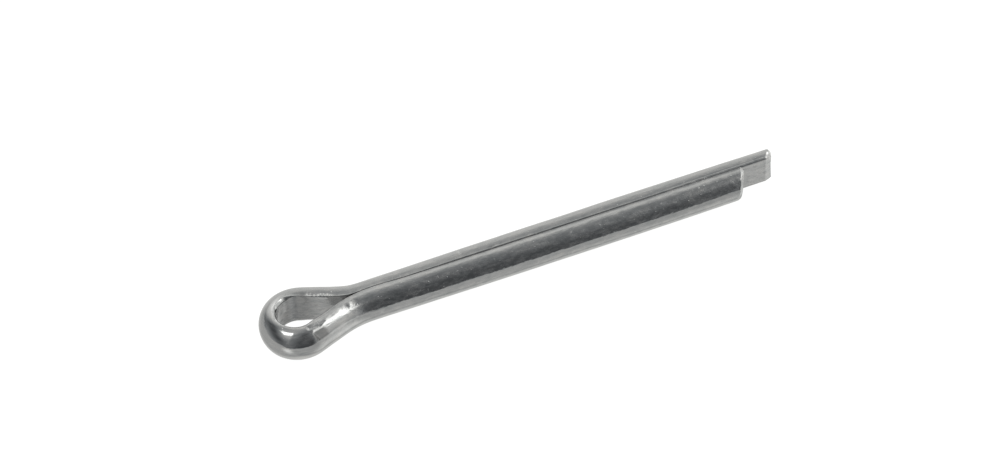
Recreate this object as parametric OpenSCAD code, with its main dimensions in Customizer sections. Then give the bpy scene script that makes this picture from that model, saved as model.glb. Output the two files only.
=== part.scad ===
// Split cotter pin, nominal size 5 x 50.
// One length of half-round wire folded flat face to flat face: an eye at the
// fold, two legs of unequal length, both ends sheared at a slant.
// Units are millimetres. The origin is on the shank axis in the plane under
// the eye, where the nominal length is measured from. +X runs along the shank
// to the leg ends, +Z is the axis of the hole through the eye, and the two
// flat faces look along Y. The short leg is on the -Y side.

/* [Wire] */

// Diameter over the two closed legs
shank_d = 4.56; // [4.4:0.02:4.6]

// Rounding of the two long edges of the half-round wire
edge_r = 0.24; // [0.1:0.02:0.36]

/* [Lengths] */

// From under the eye to the end of the short leg
leg_len = 50; // [40:1:63]

// How far the long leg runs past the short one
leg_extra = 3.5; // [2:0.1:4]

// From the far outside of the eye to the plane under the eye
eye_len = 10; // [9.4:0.1:10.8]

/* [Eye] */

// Inside radius of the eye, on the flat face of the wire
eye_r = 2.14; // [1.94:0.02:2.32]

// Straight length between the eye and the reverse bend under it
run_len = 3.48; // [3.2:0.04:4]

/* [Legs] */

// Clear distance between the flat faces of the legs
leg_gap = 0.08; // [0.04:0.04:0.2]

/* [Ends] */

// Slant of the sheared ends
cut_angle = 20; // [8:1:26]

// Width of the pressed edge round the round side of each end
end_edge = 0.34; // [0.16:0.02:0.44]

// Length of the pressed strip on the flat face at the end of the long leg
strip_len = 0.66; // [0.3:0.02:1]

/* [Hidden] */

wire_r = shank_d / 2;
half_gap = leg_gap / 2;
eye_x = wire_r + eye_r - eye_len;
edge_z = sqrt(pow(wire_r - edge_r, 2) - edge_r * edge_r);

// The straight run from the eye to the reverse bend closes on the shank axis
// at the angle whose sine is 44/125 and cosine 117/125. The radius of the
// reverse bend, on the flat face, follows from where the run ends.
run_sin = 0.352;
run_cos = 0.936;
neck_r = (run_cos * eye_r - run_sin * run_len - half_gap) / (1 - run_cos);
bend_x = eye_x + (eye_r + neck_r) * run_sin + run_len * run_cos;
bend_y = half_gap + neck_r;

long_len = leg_len + leg_extra;
strip_slope = 8;

// Half-round wire: flat on the second axis, round side toward +first axis.
module half_round() {
    intersection() {
        circle(r = wire_r, $fn = 72);
        polygon([[0, -edge_z], [0, edge_z], [edge_r, edge_z],
                 [1.5 * edge_r, 1.5 * edge_z], [2 * wire_r, 1.5 * edge_z],
                 [2 * wire_r, -1.5 * edge_z], [1.5 * edge_r, -1.5 * edge_z],
                 [edge_r, -edge_z]]);
    }
    for (s = [-1, 1])
        translate([edge_r, s * edge_z]) circle(r = edge_r + 0.00002, $fn = 48);
}

// Block standing on a plan outline, used to limit a turned shape.
module block(outline) {
    translate([0, 0, -4]) linear_extrude(height = 8) polygon(outline);
}

// The fold: round side out, hole through the middle.
module eye() {
    difference() {
        translate([eye_x, 0, 0])
            rotate_extrude($fn = 96)
                translate([eye_r, 0]) half_round();
        block([[eye_x, 0], [eye_x + 10 * run_sin, -10 * run_cos],
               [eye_x + 12, -10 * run_cos], [eye_x + 12, 10 * run_cos],
               [eye_x + 10 * run_sin, 10 * run_cos]]);
    }
}

// Straight run from the eye toward the shank.
module run() {
    translate([eye_x + eye_r * run_sin, eye_r * run_cos, 0])
        rotate([0, 0, acos(run_sin)])
            rotate([90, 0, 0])
                linear_extrude(height = run_len) half_round();
}

// Reverse bend that brings the wire parallel to the shank axis.
module neck() {
    intersection() {
        translate([bend_x, bend_y, 0])
            rotate_extrude($fn = 240)
                translate([neck_r, 0]) mirror([1, 0]) half_round();
        block([[bend_x, bend_y],
               [bend_x - 15 * run_sin, bend_y - 15 * run_cos],
               [bend_x, bend_y - 16]]);
    }
}

module leg(length) {
    translate([bend_x, half_gap, 0])
        rotate([90, 0, 90])
            linear_extrude(height = length - bend_x + 2) half_round();
}

// Everything that is left of a leg near its end: a slanted shear plane, with
// the edge round it pressed back to a short cone. `lean` is +1 where the
// round side runs on and -1 where it is cut back.
module end_keep(length, lean) {
    translate([length, half_gap, 0])
        rotate([0, 0, -lean * cut_angle]) {
            translate([-end_edge, 0, 0])
                rotate([0, 90, 0])
                    cylinder(h = end_edge, r1 = wire_r * 1.07, r2 = wire_r * 1.07 - end_edge * 0.9, $fn = 72);
            translate([-80 - end_edge, -40, -30]) cube([80.001, 80, 60]);
        }
}

module half(length, lean) {
    run();
    neck();
    intersection() {
        leg(length);
        end_keep(length, lean);
    }
}

module cotter_pin() {
    color([0.62, 0.63, 0.64])
    union() {
        eye();
        difference() {
            half(long_len, 1);
            // pressed strip on the flat face of the long leg
            translate([long_len - strip_len, half_gap, 0])
                rotate([0, 0, strip_slope])
                    translate([0, -2, -4]) cube([4, 2, 8]);
        }
        mirror([0, 1, 0]) half(leg_len, -1);
    }
}

cotter_pin();
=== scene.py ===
import math

import bmesh
import bpy
import numpy as np
from mathutils import Matrix, Vector, noise


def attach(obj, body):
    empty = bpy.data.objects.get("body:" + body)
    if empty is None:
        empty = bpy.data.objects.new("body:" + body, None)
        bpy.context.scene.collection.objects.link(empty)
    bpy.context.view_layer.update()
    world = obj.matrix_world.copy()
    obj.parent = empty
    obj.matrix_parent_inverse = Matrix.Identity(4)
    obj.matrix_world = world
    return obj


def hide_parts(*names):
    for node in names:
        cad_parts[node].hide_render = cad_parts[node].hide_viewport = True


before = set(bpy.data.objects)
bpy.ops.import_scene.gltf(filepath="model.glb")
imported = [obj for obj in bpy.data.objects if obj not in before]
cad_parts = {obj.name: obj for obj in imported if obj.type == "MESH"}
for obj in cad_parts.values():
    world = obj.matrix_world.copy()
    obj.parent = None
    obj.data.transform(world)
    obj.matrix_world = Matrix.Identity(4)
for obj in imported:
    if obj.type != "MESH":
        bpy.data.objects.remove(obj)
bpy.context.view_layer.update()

MM = 0.001

# ---------------------------------------------------------------- camera
cam_data = bpy.data.cameras.new("camera")
cam_data.sensor_fit = "HORIZONTAL"
cam_data.sensor_width = 36.0
cam_data.lens = 107.084
cam_data.clip_start = 0.01
cam_data.clip_end = 50.0
camera = bpy.data.objects.new("camera", cam_data)
bpy.context.scene.collection.objects.link(camera)
right = Vector((0.92390776, -0.38261527, 0.0))
down = Vector((-0.30061461, -0.72589933, -0.61862834))
ahead = Vector((0.23669665, 0.57155552, -0.78568377))
camera.matrix_world = Matrix((
    (right.x, -down.x, -ahead.x, -60.74784 * MM),
    (right.y, -down.y, -ahead.y, -192.71560 * MM),
    (right.z, -down.z, -ahead.z, 270.23375 * MM),
    (0.0, 0.0, 0.0, 1.0)))
bpy.context.scene.camera = camera

# ---------------------------------------------------------------- the wire, in millimetres
R = 2.28            # half of the diameter over the closed legs
EDGE = 0.17         # rounding of the wire's two long edges
EDGE_EYE = 0.36     # the same where the bending pressed it
HALF_GAP = 0.008
EYE_R = 2.14        # inside radius of the eye
EYE_X = -5.58
SIN, COS = 0.352, 0.936
RUN = 3.48          # straight run under the eye
NECK_R = (COS * EYE_R - SIN * RUN - HALF_GAP) / (1 - COS)
NECK_X = EYE_X + (EYE_R + NECK_R) * SIN + RUN * COS
NECK_Y = HALF_GAP + NECK_R
TURN = math.acos(SIN)
SHORT, LONG = 49.57, 53.55
SLANT = math.tan(math.radians(20))      # slant of the cuts in plan, long leg
SLANT_SHORT = math.tan(math.radians(21.3))
WIDEN = 0.060       # the eye is a little wider than the shank
THIN = 0.24         # and its far end a little thinner, where the bend drew it out
STRIP = 0.70        # pressed strip on the flat at the tip of the long leg
STRIP_SLOPE = math.tan(math.radians(15))
TIP = 2.0           # length of leg over which the rings turn to the slant of the cut


def smooth(x, lo, hi):
    k = np.clip((np.asarray(x, float) - lo) / (hi - lo), 0, 1)
    return k * k * (3 - 2 * k)


def plan(length):
    """The flat's line in plan on the +Y side, from the far end of the eye to the tip: place, direction and how much it belongs to the eye."""
    x, y, t, w = [], [], [], []

    def add(px, py, pt, pw):
        x.append(px), y.append(py), t.append(pt), w.append(pw)

    n = math.ceil(EYE_R * 1.5 * (math.pi - TURN) / 0.095)
    arc = np.linspace(math.pi, TURN, n + 1)
    arc = np.unique(np.concatenate([arc, (arc[-17:-1] + arc[-16:]) / 2]))[::-1]     # closer rings where the near side is pinched
    for a in arc[:-1]:
        add(EYE_X + EYE_R * math.cos(a), EYE_R * math.sin(a), a - math.pi / 2, 1.0)
    n = math.ceil(RUN / 0.10)
    m = math.ceil(NECK_R * (math.pi / 2 - TURN) / 0.14)
    for i in range(n):
        u = RUN * i / n
        k = 1 - i / (n + m)
        add(EYE_X + EYE_R * SIN + u * COS, EYE_R * COS - u * SIN, TURN - math.pi / 2, k * k * (3 - 2 * k))
    for i, a in enumerate(np.linspace(TURN + math.pi, 1.5 * math.pi, m + 1)[:-1]):
        k = 1 - (n + i) / (n + m)
        add(NECK_X + NECK_R * math.cos(a), NECK_Y + NECK_R * math.sin(a), a + math.pi / 2 - 2 * math.pi, k * k * (3 - 2 * k))
    run = np.concatenate([np.linspace(NECK_X, length - TIP, math.ceil((length - TIP - NECK_X) / 0.235) + 1),
                          length - TIP + np.linspace(0, 1, 25)[1:] * TIP])
    if length > 52:     # closer rings at the tick across the long leg
        run = np.unique(np.round(np.concatenate([run, np.arange(14.2, 15.0, 0.08)]), 3))
    for u in run:
        add(u, HALF_GAP, 0.0, 0.0)
    x, y, t, w = (np.array(v) for v in (x, y, t, w))
    s = np.concatenate([[0], np.cumsum(np.hypot(np.diff(x), np.diff(y)))])
    return x, y, t, w, s


def section(edge, low, bevel):
    """One closed loop round the half-round wire: distance out from the flat, height, and the direction square to the surface.
    `edge` and `low` are the roundings of the upper and the lower edge; `bevel` draws the upper one toward a straight slope."""
    zu, zl = math.sqrt((R - edge) ** 2 - edge ** 2), math.sqrt((R - low) ** 2 - low ** 2)
    pu, pl = math.atan2(zu, edge), math.atan2(zl, low)
    pts = [(0.0, z, -1.0, 0.0) for z in np.linspace(-zl, zu, 21)[:-1]]
    for i, a in enumerate(np.linspace(math.pi, pu, 11)[:-1]):
        x, z = edge + edge * math.cos(a), zu + edge * math.sin(a)
        f = i / 10
        pts.append((x + bevel * (f * R * math.cos(pu) - x), z + bevel * (zu + f * (R * math.sin(pu) - zu) - z), math.cos(a), math.sin(a)))
    pts += [(R * math.cos(a), R * math.sin(a), math.cos(a), math.sin(a)) for a in np.linspace(pu, -pl, 71)[:-1]]
    pts += [(low + low * math.cos(a), -zl + low * math.sin(a), math.cos(a), math.sin(a)) for a in np.linspace(-pl, -math.pi, 11)[:-1]]
    return np.array(pts)


def rnd(seed, *coords):
    """Smooth noise in about -1..1 at rows of coordinates."""
    pts = np.stack(np.broadcast_arrays(*[np.asarray(c, float) for c in coords]), -1).reshape(-1, 3)
    off = Vector((seed * 17.31, seed * 5.77, seed * 11.13))
    return np.array([noise.noise(Vector(p) + off) for p in pts]).reshape(np.broadcast(*coords).shape)


NP = len(section(EDGE, EDGE, 0.0))


def half(side, length):
    """Rings of one half of the wire, from the far end of the eye to the tip."""
    x, y, t, w, s = plan(length)
    # pressed rounder by the bend in the eye, sharper under it where the two halves meet
    press = 1 - smooth(s, 2.4, 4.4) if side > 0 else w
    edge = EDGE + (EDGE_EYE - EDGE) * press - 0.10 * (1 - smooth(x, 4, 15)) * (1 - press)
    if side > 0:
        edge = edge - 0.01 * (1 - w) + 0.18 * smooth(x, 36, 49)
    # a mandrel pressed the upper inner edge of the eye to a slope on the far side
    slope = 0.85 * smooth(s, 0.6, 1.4) * (1 - smooth(s, 2.2, 3.4)) if side > 0 else 0 * s
    edge = edge - 0.07 * slope * (1 - smooth(s, 3.2, 4.2))
    under = 1 - smooth(s, 4.0, 5.8) if side > 0 else w
    low = np.where(x < 4, np.minimum(EDGE, EDGE + (EDGE_EYE - EDGE) * under - 0.10 * (1 - under)), edge)
    loops = np.array([section(e, l, b) for e, l, b in zip(edge, low, slope)])
    out, z, n_out, n_z = (loops[..., i] for i in range(4))
    z = z * (1 + WIDEN * w[:, None])
    k = np.clip((x - NECK_X) / (length - NECK_X), 0, 1)
    # the legs are a little fuller over their middle than at the neck and the tip
    if side > 0:
        full = 0.17 * 4 * k * (1 - k) + 0.09 * smooth(k, 0.0, 0.9) - 0.035 * np.exp(-((x - 28) / 6) ** 2) + 0.14 * smooth(s, 3.2, 4.9) * (1 - smooth(s, 8.3, 10.3)) + 0.05 * smooth(s, 8.3, 10.3)
    else:
        full = 0.13 * 4 * k * (1 - k) + 0.06 * smooth(k, 0.0, 0.9) + (0.035 + 0.04 * np.exp(-((x - 1) / 5) ** 2) - 0.03 * w) * smooth(s, 0.0, 2.5) + 0.04 * smooth(s, 3.0, 4.4) * (1 - smooth(s, 8.0, 10.5))
    out = out * (1 + full[:, None] / R)
    # thinner at the far end of the eye: the flat side gives way, the round side stays
    thin = THIN * np.cos(np.clip(s / 3.6, 0, 1) * math.pi / 2) ** 2
    place = out + thin[:, None] * (1 - out / R)
    # under the eye the near half swells over the line between the legs
    lap = 0.13 * np.exp(-((x - 3.9) / 2.2) ** 2)
    if side > 0:
        lap = lap - 0.08 * np.exp(-((x - 0.6) / 1.1) ** 2)
    place = place + (side * lap + 0.006 * smooth(x, 28, 44))[:, None] * (1 - out / R)
    # the wire is twisted a few degrees where it comes round the eye
    if side > 0:
        twist = 0.06 * smooth(s, 4.2, 6.2) * (1 - smooth(x, -0.5, 2.5))
    else:
        twist = 0.055 * smooth(s, 0.3, 1.5) * (1 - smooth(s, 4.5, 6.5))
    place, z = place - twist[:, None] * z, z + twist[:, None] * out
    # the line between the legs wanders a little to one side
    mid = -0.025 * 4 * k * (1 - k) + 0.015 * smooth(k, 0.8, 1.0)
    nx, ny = -np.sin(t)[:, None], np.cos(t)[:, None]
    # the cut: slanted in plan, a little out of square in height, with a pressed edge round it
    end = (SLANT if side > 0 else -SLANT_SHORT) * out + (-0.055 if side > 0 else 0.09) * z
    if side < 0:
        end = end + 0.16 * smooth(-z, 0.4, 1.9)
    rounding = np.maximum(smooth(out, 0.0, 0.42), smooth(np.abs(z), 1.3, 2.0))
    roll_x = 0.06 + (0.22 if side > 0 else 0.26) * rounding
    u = np.clip((x - (length - TIP)) / TIP, 0, 1)[:, None]
    # the eye sits a touch off the shank axis
    X = x[:, None] + nx * place + (end - roll_x) * u * u - 0.035 * w[:, None]
    Y = y[:, None] + ny * place + side * (mid + 0.045 * w)[:, None]
    if side > 0:
        # pressed strip across the flat at the tip of the long leg, narrower and steeper over its back
        back = smooth(out, 0.1, 1.4)
        left = length + end - X
        deep = np.clip(STRIP - 0.28 * back - left, 0, None) * (STRIP_SLOPE + 0.10 * back)
        X = X - nx * n_out * deep
        Y = Y - ny * n_out * deep
        z = z - n_z * deep
    P = np.stack([X, Y * side, z], -1)
    N = np.stack([nx * n_out, ny * n_out * side, n_z + 0 * nx], -1)
    W = np.stack([np.repeat(s[:, None], NP, 1) * side, -out, z], -1)
    return P, N, W, roll_x[-1]


P1, N1, W1, roll1 = half(1, LONG)
P0, N0, W0, roll0 = half(-1, SHORT)
join = lambda a, b: np.concatenate([a[::-1], b[1:]])
P, N, W = join(P0, P1), join(N0, N1), join(W0, W1)
NR = len(P)


def around(w):
    """Angle round the wire, in degrees: 0 at the middle of the round side, 90 at the top edge and over the upper half of the flat."""
    return np.degrees(np.arctan2(w[..., 2], np.maximum(np.abs(w[..., 1]), 1e-6)))


# ---- what use and the making left on it: waves, dents, a pressed flat, creases and a ragged edge, with painted highlights and painted shade in its colour
S, OUT, Z = W[..., 0], np.abs(W[..., 1]), W[..., 2]
A = around(W)
ends = np.clip(np.minimum(S - S.min(), S.max() - S) / 1.5, 0, 1)
push = 0.012 * rnd(1, S * 0.22, OUT * 0.5, Z * 0.5) + 0.0035 * rnd(2, S * 0.8, OUT * 1.1, Z * 1.1)
rub_and_painted_highlight, stain_and_painted_shade = np.zeros_like(push), np.zeros_like(push)


def spot(s0, a0, along, across, depth, bright=0.0, flat=None):
    """A dent (depth > 0) or a raised dab at that length and angle; `along` and `across` are its radii in mm. `bright`
    above 0 lightens the colour, for rubbing and for painted highlights; below 0 it darkens it, for stains and for
    painted shade. `flat` is a height on the flat face.
    """
    q = (Z - flat) if flat is not None else np.radians(A - a0) * R
    r = ((S - s0) / along) ** 2 + (q / across) ** 2
    k = np.exp(-r * 1.5)
    if flat is not None:
        k = k * (OUT < 0.4)
    elif abs(a0) < 80:
        k = k * (OUT > 0.05)
    push[...] -= depth * k
    if bright >= 0:
        rub_and_painted_highlight[...] = np.maximum(rub_and_painted_highlight, bright * k)
    else:
        stain_and_painted_shade[...] = np.maximum(stain_and_painted_shade, -bright * k)


def line(s0, a0, s1, a1, width, height, bright=0.0, sharp=False):
    """A raised line (height > 0) or a scratch between two places on the surface; `bright` lightens its colour, for
    rubbing and for painted highlights.
    """
    x0, y0, x1, y1 = s0, math.radians(a0) * R, s1, math.radians(a1) * R
    px, py = S - x0, np.radians(A) * R - y0
    dx, dy = x1 - x0, y1 - y0
    f = np.clip((px * dx + py * dy) / (dx * dx + dy * dy), 0, 1)
    r = np.hypot(px - f * dx, py - f * dy) / width
    taper = np.clip(4 * np.minimum(f, 1 - f) + 0.35, 0, 1)
    k = (np.exp(-r * 1.4) if sharp else np.exp(-r * r * 1.5)) * taper * (OUT > 0.03)
    push[...] += height * k
    rub_and_painted_highlight[...] = np.maximum(rub_and_painted_highlight, bright * k)


# crease left by the bending tool, round the near side of the eye; the lighter colour along it and on the dab beside it
# is painted highlight
line(-2.36, 72, -1.96, 34, 0.60, 0.030, sharp=True)
line(-2.36, 66, -1.96, 34, 0.10, 0.004, 0.25)
spot(-2.05, 18, 0.28, 0.20, -0.006, 0.8)
# dents where the near side of the eye runs into the neck; the lighter colour on the dabs, the tick, the patches and the
# dab at the corner of the nipped part is painted highlight
spot(-8.95, 66, 0.24, 0.40, 0.005)
spot(-9.30, 67, 0.28, 0.30, -0.022)
spot(-9.50, 68, 0.34, 0.24, 0.0, 0.9)
spot(-9.10, 57, 0.13, 0.18, -0.006, 0.6)
spot(-10.3, 66, 0.60, 0.40, 0.020)
line(-9.07, 24, -8.92, 6, 0.10, 0.006, 0.45)
spot(-7.9, 12, 0.50, 0.40, 0.008, 0.2)
spot(-7.4, 30, 0.60, 0.35, 0.006, 0.2)
spot(-3.9, 62, 0.16, 0.20, -0.010, 0.7)
# swelling beside the nipped part
spot(-5.25, 62, 0.60, 0.34, -0.030)
line(-5.30, 64, -8.10, 64, 0.45, 0.042)
# painted shade: darker colour over the front of the eye below the nipped part
spot(-3.62, 31, 0.45, 0.40, 0.0, -0.6)
spot(-4.50, 20, 1.00, 0.60, 0.0, -0.4)
spot(-5.20, 2, 1.30, 0.50, 0.0, -0.3)
# scraped slope on the far side of the eye; the lighter colour on it is painted highlight, the darker spot beyond it
# painted shade over a bright edge
spot(3.35, 84, 0.55, 0.45, 0.0, 0.35)
spot(4.80, 86, 0.80, 0.35, 0.0, -0.6)
spot(2.55, 86, 0.35, 0.30, 0.0, 0.8)
# ragged rub mark along the far side's inner edge, lightened in colour both as rubbing and as painted highlight
rub_with_painted_highlight = smooth(S, 5.0, 5.6) * (1 - smooth(S, 8.0, 8.7)) * np.exp(-((np.hypot(OUT - 0.18, Z - 2.24)) / 0.17) ** 2)
push += rub_with_painted_highlight * (0.035 + 0.035 * rnd(11, S * 2.0, 0 * S, 0 * S) + 0.030 * rnd(12, S * 5.0, OUT * 3, Z * 3) + 0.105 * np.mod(S / 0.42, 1.0) * np.exp(-((S - 6.7) / 1.0) ** 2))
rub_and_painted_highlight = np.maximum(rub_and_painted_highlight, rub_with_painted_highlight * np.clip(0.45 + 0.9 * np.exp(-((S - 6.8) / 0.9) ** 2) + 0.8 * rnd(13, S * 2.1, 0 * S, 0 * S), 0.10, 1.1))
line(5.31, 86, 5.31, 74, 0.09, 0.010, 0.6)
# darker patches in the colour, by the eye and along the legs
spot(-3.3, 58, 0.35, 0.30, 0.0, -0.4)
spot(27.6, 84, 0.45, 0.22, 0.0, -0.6)
spot(-33.2, 40, 0.9, 0.35, 0.0, -0.3)
spot(12.4, 60, 0.8, 0.30, 0.0, -0.3)
stain_and_painted_shade = np.maximum(stain_and_painted_shade, 0.30 * (S < 0) * smooth(-S, 43, 50) * np.exp(-((A - 40) / 24) ** 2))
# painted shade: the flat inner wall of the eye's far side darkened in colour
far_flat = (OUT < 0.02) * (S > 0) * (Z > -2.2)
stain_and_painted_shade = np.maximum(stain_and_painted_shade, far_flat * (1.0 * np.exp(-((S - 2.6) / 0.65) ** 2) + 0.48 * smooth(S, 3.3, 4.2) * (1 - smooth(S, 5.0, 7.0)) + 0.25 * np.exp(-((S - 8.2) / 1.0) ** 2)))
# nicks on the inner wall, darkened in colour as painted shade in the dents
for s0, z0, r0, d0 in ((4.84, -0.2, 0.22, 0.020), (3.54, -1.1, 0.30, 0.022), (4.2, -0.95, 0.20, 0.015), (6.3, 0.6, 0.25, 0.012), (3.0, 0.5, 0.3, 0.010),
                       (-4.4, 0.7, 0.25, 0.015), (-6.0, -0.4, 0.3, 0.012), (7.2, -0.8, 0.2, 0.014), (1.6, -0.9, 0.25, 0.012)):
    spot(s0, 0, r0, r0 * 0.8, d0, -0.5, z0)
# marks along the legs
line(23.73, 78, 23.58, 48, 0.15, 0.007, 0.55)
spot(-36.67, 62, 0.14, 0.14, 0.010, 0.9)
spot(-38.67, 77, 0.16, 0.12, 0.008, 0.7)
spot(27.6, 86, 0.40, 0.20, 0.035)
spot(-18.66, 62, 0.25, 0.18, 0.010)
draw = np.random.default_rng(29)
for _ in range(60):
    s0, a0 = draw.uniform(-58, 60), draw.uniform(-89, 89)
    r0 = draw.uniform(0.16, 0.40)
    spot(s0, a0, r0 * draw.uniform(1, 3), r0, draw.uniform(-0.003, 0.008), 0.4 * draw.random() ** 4)
for _ in range(26):
    s0, a0 = draw.uniform(-56, 56), draw.uniform(-80, 80)
    line(s0, a0, s0 + draw.uniform(0.5, 3.0) * draw.choice((-1, 1)), a0 + draw.uniform(-16, 16), 0.10, -0.004, 0.25)
P = P + N * (push * ends)[..., None]

# pinched flats on the near side of the neck: the wire nipped by a jaw, deepest toward the eye
def nip(s0, a0, tilt, depth, area):
    """Press the wire to a plane near that length and angle, `tilt` leaning it toward the eye, inside `area`."""
    ring = int(np.argmin(np.abs(S[:, 0] - s0)))
    col = int(np.argmin(np.abs(A[ring] - a0) + 100 * (OUT[ring] < 0.1)))
    along = P[ring - 3, col] - P[ring + 3, col]
    along /= np.linalg.norm(along)
    face = N[ring, col] - tilt * along
    face /= np.linalg.norm(face)
    over = np.clip((P - P[ring, col]) @ face + depth, 0, 0.3) * area * (S < 0)
    return P - face * over[..., None]


ridge = 66 + (S + 3.75) * 6 + np.minimum(S + 4.75, 0) * 18        # the light line between the two
left = S + 3.72 + (66 - A) * 0.009
facet = smooth(-left, -0.14, 0.14) * smooth(A, 24, 30) * (1 - smooth(A - ridge, -1.5, 0.0))
# painted shade: the pressed facet and the step at its left edge darkened in colour
stain_and_painted_shade = np.maximum(stain_and_painted_shade, 1.0 * facet * (1 - smooth(-S, 5.0, 5.5)) * (S < 0))
stain_and_painted_shade = np.maximum(stain_and_painted_shade, 1.5 * np.exp(-(left / 0.13) ** 2) * smooth(A, 26, 32) * (1 - smooth(A, 52, 61)) * (S < 0))
P = nip(-4.65, 46, 0.040, 0.034, facet)
P = nip(-4.45, 70, 0.050, 0.036, smooth(-left, -0.30, 0.10) * smooth(A - ridge, 0.0, 2.5) * smooth(A - 63 + (S + 5.05) * 7, -1.5, 1.5))
# painted highlight: lighter colour along the ridge lines and on three spots here; the darker spots are painted shade
# over bright dots
line(-3.95, 64, -4.75, 60, 0.09, 0.0, 0.12)
line(-4.75, 60, -5.30, 47, 0.09, 0.0, 0.22)
spot(-4.45, 72, 0.75, 0.42, 0.0, 0.45)
line(-4.80, 76, -4.88, 65, 0.08, 0.0, 0.60)
spot(-4.60, 66, 0.16, 0.12, 0.0, -0.5)
spot(-4.95, 60, 0.14, 0.12, 0.0, -0.4)
spot(-5.15, 72, 0.35, 0.25, 0.0, 0.5)
spot(-3.60, 73, 0.18, 0.20, 0.0, -1.0)
spot(-4.02, 62, 0.36, 0.18, 0.0, -1.2)
spot(-5.02, 56, 0.28, 0.14, 0.0, -0.9)


def close_tip(ring, side, length, roll_x, w_ring, n_ring):
    """Rolled edge and sheared face beyond the last ring: rings of places, wire coordinates and how much each belongs to the cut."""
    lean = SLANT if side > 0 else -SLANT_SHORT
    n = np.array([1.0, -lean * side, 0.0])
    n /= np.linalg.norm(n)
    inward = -(n_ring - (n_ring @ n)[:, None] * n)
    inward /= np.linalg.norm(inward, axis=1, keepdims=True)
    long = roll_x[:, None]
    deep = long * 0.8
    rows, k_cut = [], []
    for k in range(1, 9):
        f = k / 8
        rows.append(ring + inward * deep * f ** 1.1 + n * long * f)
        k_cut.append(0.25 * f)
    rim = rows[-1]
    ctr = rim.mean(0)
    for k in range(1, 12):
        f = k / 12
        q = rim + (ctr - rim) * f
        ripple = 0.035 * rnd(5, q[:, 0] * 0.3, q[:, 1] * 1.6, q[:, 2] * 1.6) + 0.012 * rnd(6, q[:, 0], q[:, 1] * 5, q[:, 2] * 5)
        rows.append(q + n * (ripple * smooth(f, 0.0, 0.25) + 0.03 * smooth(f, 0, 0.5))[:, None])
        k_cut.append(1.0)
    rows = np.array(rows)
    ww = np.repeat(w_ring[None], len(rows), 0)
    ww[..., 0] += np.linalg.norm(rows - ring, axis=-1) * side
    return rows, ww, np.repeat(np.array(k_cut)[:, None], NP, 1)


# ---- mesh
verts, wire, cut, rub_and_painted_light, faces = [P.reshape(-1, 3)], [W.reshape(-1, 3)], [np.zeros(NR * NP)], [(rub_and_painted_highlight - stain_and_painted_shade).ravel()], []
grid = np.arange(NR * NP).reshape(NR, NP)


def band(a, b):
    """Faces between two rings of vertex numbers, wound so that they look out when b lies toward +S from a."""
    return np.stack([a, b, np.roll(b, -1, -1), np.roll(a, -1, -1)], -1).reshape(-1, 4)


faces += band(grid[:-1], grid[1:]).tolist()
count = NR * NP
for side, length, roll, index in ((1, LONG, roll1, NR - 1), (-1, SHORT, roll0, 0)):
    rows, ww, cc = close_tip(P[index], side, length, roll, W[index], N[index])
    verts.append(rows.reshape(-1, 3)), wire.append(ww.reshape(-1, 3)), cut.append(cc.ravel())
    # painted highlight: the top of the rolled edge at each tip lightened in colour
    rub_and_painted_light.append(((0.7 if side > 0 else 0.5) * smooth(ww[..., 2], 1.3, 1.8) * (cc < 1)).ravel())
    prev = grid[index]
    for _ in rows:
        ring = np.arange(count, count + NP)
        count += NP
        faces += (band(prev, ring) if side > 0 else band(ring, prev)).tolist()
        prev = ring
    verts.append(rows[-1].mean(0)[None]), wire.append(ww[-1].mean(0)[None]), cut.append(np.ones(1)), rub_and_painted_light.append(np.zeros(1))
    for j in range(NP):
        a, b = int(prev[j]), int(prev[(j + 1) % NP])
        faces.append([a, count, b] if side > 0 else [b, count, a])
    count += 1

V = np.concatenate(verts) * MM
mesh = bpy.data.meshes.new("cotter_pin_wire")
mesh.from_pydata(V.tolist(), [], faces)
mesh.validate()
mesh.polygons.foreach_set("use_smooth", [True] * len(mesh.polygons))
bm = bmesh.new()
bm.from_mesh(mesh)
if bm.calc_volume(signed=True) < 0:
    bmesh.ops.reverse_faces(bm, faces=bm.faces)
bm.to_mesh(mesh)
bm.free()
att = mesh.attributes.new("wire", "FLOAT_VECTOR", "POINT")
att.data.foreach_set("vector", np.concatenate(wire).astype(np.float32).ravel())
for name, rows in (("cut", cut), ("rub_and_painted_light", rub_and_painted_light)):
    att = mesh.attributes.new(name, "FLOAT", "POINT")
    att.data.foreach_set("value", np.concatenate(rows).astype(np.float32))
mesh.update()
pin = bpy.data.objects.new("cotter_pin_wire", mesh)
bpy.context.scene.collection.objects.link(pin)


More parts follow.
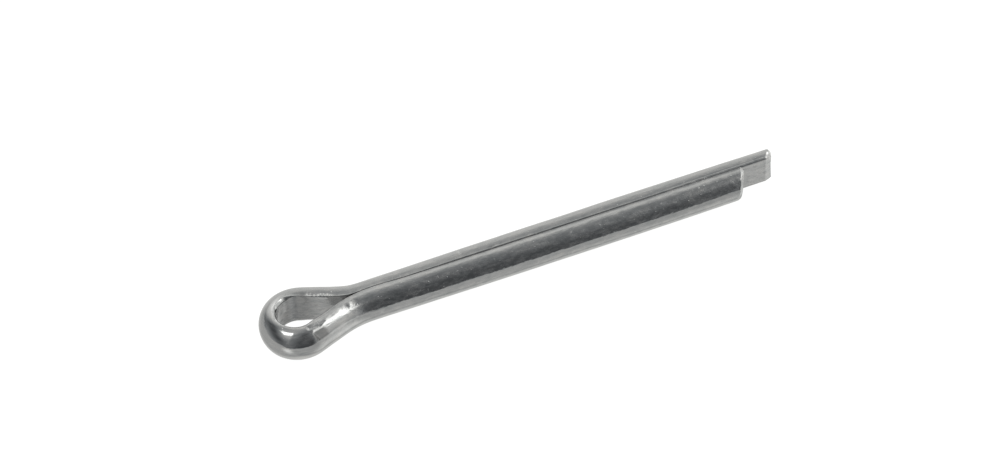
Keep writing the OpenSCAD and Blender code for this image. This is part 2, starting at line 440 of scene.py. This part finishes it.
# ---------------------------------------------------------------- node helpers
class Graph:
    """Short names for the node types used here."""

    def __init__(self, tree):
        self.tree = tree

    def node(self, kind, **settings):
        n = self.tree.nodes.new(kind)
        for k, v in settings.items():
            setattr(n, k, v)
        return n

    def put(self, socket, value):
        if hasattr(value, "is_output"):
            self.tree.links.new(value, socket)
        else:
            socket.default_value = value

    def math(self, op, a, b=None, clamp=False):
        n = self.node("ShaderNodeMath", operation=op, use_clamp=clamp)
        self.put(n.inputs[0], a)
        if b is not None:
            self.put(n.inputs[1], b)
        return n.outputs[0]

    def add(self, a, b):
        return self.math("ADD", a, b)

    def mul(self, a, b):
        return self.math("MULTIPLY", a, b)

    def dot(self, v, xyz):
        n = self.node("ShaderNodeVectorMath", operation="DOT_PRODUCT")
        self.put(n.inputs[0], v)
        n.inputs[1].default_value = xyz
        return n.outputs["Value"]

    def ease(self, value, lo, hi, out_lo=0.0, out_hi=1.0):
        n = self.node("ShaderNodeMapRange", interpolation_type="SMOOTHSTEP")
        self.put(n.inputs["Value"], value)
        if lo > hi:
            lo, hi, out_lo, out_hi = hi, lo, out_hi, out_lo
        n.inputs["From Min"].default_value = lo
        n.inputs["From Max"].default_value = hi
        n.inputs["To Min"].default_value = out_lo
        n.inputs["To Max"].default_value = out_hi
        return n.outputs["Result"]

    def stretch(self, v, xyz, shift=(0, 0, 0)):
        n = self.node("ShaderNodeMapping", vector_type="POINT")
        self.put(n.inputs["Vector"], v)
        n.inputs["Scale"].default_value = xyz
        n.inputs["Location"].default_value = shift
        return n.outputs[0]

    def noise(self, v, scale, detail=2.0, rough=0.5, distort=0.0):
        n = self.node("ShaderNodeTexNoise")
        self.put(n.inputs["Vector"], v)
        n.inputs["Scale"].default_value = scale
        n.inputs["Detail"].default_value = detail
        n.inputs["Roughness"].default_value = rough
        n.inputs["Distortion"].default_value = distort
        return n.outputs["Fac"]

    def bump(self, height, strength, distance, normal=None):
        n = self.node("ShaderNodeBump")
        self.put(n.inputs["Height"], height)
        n.inputs["Strength"].default_value = strength
        n.inputs["Distance"].default_value = distance
        if normal is not None:
            self.put(n.inputs["Normal"], normal)
        return n.outputs[0]


# ---------------------------------------------------------------- zinc-plated steel
def steel():
    mat = bpy.data.materials.new("zinc_plated_steel")
    mat.use_nodes = True
    tree = mat.node_tree
    tree.nodes.clear()
    g = Graph(tree)
    out = g.node("ShaderNodeOutputMaterial")
    bsdf = g.node("ShaderNodeBsdfPrincipled")
    tree.links.new(bsdf.outputs[0], out.inputs[0])
    wire = g.node("ShaderNodeAttribute", attribute_name="wire").outputs["Vector"]
    cut = g.node("ShaderNodeAttribute", attribute_name="cut").outputs["Fac"]

    # colour marks from the mesh: rubbing and painted highlights above 0, stains and painted shade below 0
    rub_stain_and_painted_light = g.node("ShaderNodeAttribute", attribute_name="rub_and_painted_light").outputs["Fac"]
    rub_and_painted_light = g.math("MAXIMUM", rub_stain_and_painted_light, 0.0)
    stain_and_shade = g.math("MAXIMUM", g.mul(rub_stain_and_painted_light, -1.0), 0.0)

    streak = g.noise(g.stretch(wire, (0.22, 6.0, 6.0)), 1.0, 3.0, 0.6)            # drawing lines
    cloud = g.noise(g.stretch(wire, (0.55, 1.3, 1.3), (4, 9, 2)), 1.0, 3.0, 0.6)  # blotches in the plating
    wave = g.noise(g.stretch(wire, (0.8, 1.6, 1.6), (1, 5, 7)), 1.0, 1.0, 0.5)    # slow hammering
    grain = g.noise(g.stretch(wire, (1.3, 2.8, 2.8)), 1.0, 2.0, 0.6)              # crystals of the zinc
    bloom = g.ease(g.noise(g.stretch(wire, (1.1, 2.7, 2.7), (7, 3, 5)), 1.0, 2.5, 0.6), 0.38, 0.68)   # dull film in spots
    pits = g.ease(g.noise(g.stretch(wire, (2.6, 4.2, 4.2), (3, 1, 8)), 1.0, 1.0, 0.5), 0.70, 0.80)
    split = g.node("ShaderNodeSeparateXYZ")
    g.put(split.inputs[0], wire)
    # the flat face is darker in colour below: partly its rolled finish, partly painted shade between the legs and on
    # the inner wall of the eye
    flat = g.ease(g.math("ABSOLUTE", split.outputs[1]), 0.0, 0.10, 1.0, 0.0)      # the rolled flat face, duller than the round side
    blot = g.ease(g.noise(g.stretch(wire, (1.1, 1.5, 1.5), (2, 8, 4)), 1.0, 2.0, 0.6), 0.52, 0.66)

    mix = g.add(g.mul(cloud, 0.50), g.add(g.mul(streak, 0.20), g.mul(grain, 0.30)))
    ramp = g.node("ShaderNodeValToRGB")
    g.put(ramp.inputs[0], mix)
    e = ramp.color_ramp.elements
    e[0].position, e[0].color = 0.36, (0.480, 0.495, 0.495, 1)
    e[1].position, e[1].color = 0.64, (0.650, 0.645, 0.635, 1)
    mid = e.new(0.5)
    mid.color = (0.568, 0.572, 0.574, 1)
    # darker base colour for stains and painted shade, and on the flat face
    shade = g.node("ShaderNodeVectorMath", operation="SCALE")
    g.put(shade.inputs[0], ramp.outputs[0])
    g.put(shade.inputs["Scale"], g.math("SUBTRACT", 1.0, g.add(g.mul(stain_and_shade, 0.45), g.mul(flat, g.add(0.08, g.mul(blot, 0.14))))))
    # lighter base colour toward 0.80 for rubbing, painted highlights and pits
    rub_and_painted_highlight = g.node("ShaderNodeMix", data_type="RGBA")
    g.put(rub_and_painted_highlight.inputs["Factor"], g.math("MAXIMUM", g.mul(rub_and_painted_light, 0.8), g.mul(pits, 0.30), clamp=True))
    g.put(rub_and_painted_highlight.inputs[6], shade.outputs[0])
    rub_and_painted_highlight.inputs[7].default_value = (0.80, 0.80, 0.79, 1)
    g.put(bsdf.inputs["Base Color"], rub_and_painted_highlight.outputs[2])
    g.put(bsdf.inputs["Metallic"], g.math("SUBTRACT", 1.0, g.add(g.mul(bloom, 0.11), g.mul(rub_and_painted_light, 0.15))))
    rough = g.add(0.060, g.add(g.mul(streak, 0.03), g.mul(g.ease(cloud, 0.35, 0.75), 0.07)))
    rough = g.add(rough, g.add(g.mul(cut, 0.22), g.add(g.mul(rub_and_painted_light, 0.25), g.mul(flat, 0.06))))
    g.put(bsdf.inputs["Roughness"], rough)
    n = g.bump(wave, 0.5, 0.000030)
    n = g.bump(streak, 0.30, 0.000006, n)
    n = g.bump(grain, 1.0, 0.000012, n)
    n = g.bump(pits, 0.6, 0.000010, n)
    rag = g.noise(g.stretch(wire, (9.0, 5.0, 1.2)), 1.0, 3.0, 0.6)
    n = g.bump(g.mul(rag, cut), 0.8, 0.00008, n)
    g.put(bsdf.inputs["Normal"], n)
    return mat


pin.data.materials.append(steel())
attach(pin, "root")
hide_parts("cotter_pin")


# ---------------------------------------------------------------- studio
def studio():
    world = bpy.data.worlds.new("studio")
    bpy.context.scene.world = world
    world.use_nodes = True
    tree = world.node_tree
    tree.nodes.clear()
    g = Graph(tree)
    out = g.node("ShaderNodeOutputWorld")
    d = g.node("ShaderNodeTexCoord").outputs["Generated"]

    def toward(az, el):
        a, e = math.radians(az), math.radians(el)
        return Vector((math.sin(a) * math.cos(e), -math.cos(a) * math.cos(e), math.sin(e)))

    def softbox(az, el, wide, high, soft, roll=0.0):
        """1 inside a rectangle of those angles round a direction, easing to 0 over `soft` degrees."""
        c = toward(az, el)
        u = Vector((math.cos(math.radians(az)), math.sin(math.radians(az)), 0.0))
        v = c.cross(u)
        if v.z < 0:
            v = -v
        q = math.radians(roll)
        u, v = u * math.cos(q) + v * math.sin(q), v * math.cos(q) - u * math.sin(q)
        front = g.math("MAXIMUM", g.dot(d, c), 0.001)
        mask = None
        for axis, size in ((u, wide), (v, high)):
            ang = g.math("ARCTANGENT", g.math("DIVIDE", g.math("ABSOLUTE", g.dot(d, axis)), front))
            m = g.ease(ang, math.radians(size / 2 - soft / 2), math.radians(size / 2 + soft / 2), 1.0, 0.0)
            mask = m if mask is None else g.mul(mask, m)
        return mask

    up = g.dot(d, (0, 0, 1))
    # the pale table below a horizon that leans a little
    tilt = toward(-41, 0) * 0.141
    low = g.ease(g.dot(d, (tilt.x, tilt.y, 1.0)), -0.036, 0.036, 1.0, 0.0)
    table = 0.490
    for where, size, gain in (
            ((-47, -28, 12), (22, 24, 12), 0.85),    # bright patch of table, front left
            ((58, -35, 38), (47, 34, -18), 0.45),    # table, front right
            ((127, -30, 62), (31, 24, -57), 0.6),    # table, back right
            ((169, -52, 61), (136, 33, -5), 0.21),    # table, behind
            ((32, -60, 66), (13, 11, -3), -0.17)):    # shade near the pin
        table = g.add(table, g.mul(softbox(*where, *size), gain))
    # above it a dim room, with panels, windows and lamps round it
    high = g.add(0.088, g.mul(g.ease(up, 0.8, 1.0), -0.024))
    for where, size, gain in (
            ((-166, 35, 39), (53, 30, 9), 0.69),    # panel, back left
            ((167, -5, 40), (44, 67, 10), 1.0),    # low light behind
            ((126, 45, 53), (23, 8, -46), 0.65),    # panel, back right
            ((90, 28, 82), (82, 55, 6), 0.48),    # glow on the right
            ((152, 66, 26), (16, 17, -22), 0.45),    # overhead strip
            ((65, 50, 37), (19, 11, 25), 1.35),    # lamp, right
            ((-73, 69, 26), (16, 9, 58), 2.2),    # lamp, left
            ((-77, 71, 28), (61, 40, 28), 0.57),    # its glow
            ((-177, 43, 9), (30, 18, 18), 0.8),    # lamp, behind
            ((-44, 32, 33), (71, 34, -2), 0.17),    # faint panel, front left
            ((142, 12, 24), (26, 12, -2), 1.5),    # small window, back right
            ((-99, -4, 63), (29, 37, -28), 0.28)):    # glow over the horizon, left
        high = g.add(high, g.mul(softbox(*where, *size), gain))
    total = g.add(g.mul(low, table), g.mul(g.math("SUBTRACT", 1.0, low), high))
    for where, size, gain in (
            ((51, 24, 40), (70, 16, -28), 0.33),    # tall panel, front right
            ((91, 8, 9), (38, 14, 29), 0.78)):    # narrow panel, right
        total = g.add(total, g.mul(softbox(*where, *size), gain))
    lit = g.node("ShaderNodeBackground")
    tone = g.node("ShaderNodeValToRGB")          # the dim side of the room is cool, the paper and panels warm
    g.put(tone.inputs[0], total)
    e = tone.color_ramp.elements
    e[0].position, e[0].color = 0.10, (0.955, 1.0, 1.035, 1)
    e[1].position, e[1].color = 0.55, (1.0, 1.0, 0.975, 1)
    g.put(lit.inputs["Color"], tone.outputs[0])
    g.put(lit.inputs["Strength"], total)
    plain = g.node("ShaderNodeBackground")
    plain.inputs["Color"].default_value = (1, 1, 1, 1)
    plain.inputs["Strength"].default_value = 1.0
    mix = g.node("ShaderNodeMixShader")
    g.put(mix.inputs[0], g.node("ShaderNodeLightPath").outputs["Is Camera Ray"])
    tree.links.new(lit.outputs[0], mix.inputs[1])
    tree.links.new(plain.outputs[0], mix.inputs[2])
    tree.links.new(mix.outputs[0], out.inputs[0])


studio()

# pale floor
floor_z = float(V[:, 2].min())
fm = bpy.data.meshes.new("floor")
fm.from_pydata([(-3, -3, floor_z), (3, -3, floor_z), (3, 3, floor_z), (-3, 3, floor_z)], [], [(0, 1, 2, 3)])
floor = bpy.data.objects.new("floor", fm)
bpy.context.scene.collection.objects.link(floor)
mat = bpy.data.materials.new("pale_floor")
mat.use_nodes = True
b = mat.node_tree.nodes["Principled BSDF"]
b.inputs["Base Color"].default_value = (0.2, 0.2, 0.2, 1)
b.inputs["Roughness"].default_value = 0.9
b.inputs["Emission Color"].default_value = (1, 1, 1, 1)
b.inputs["Emission Strength"].default_value = 0.96
fm.materials.append(mat)
floor.visible_glossy = False

bpy.context.scene.view_settings.view_transform = "Standard"
bpy.context.scene.view_settings.look = "None"
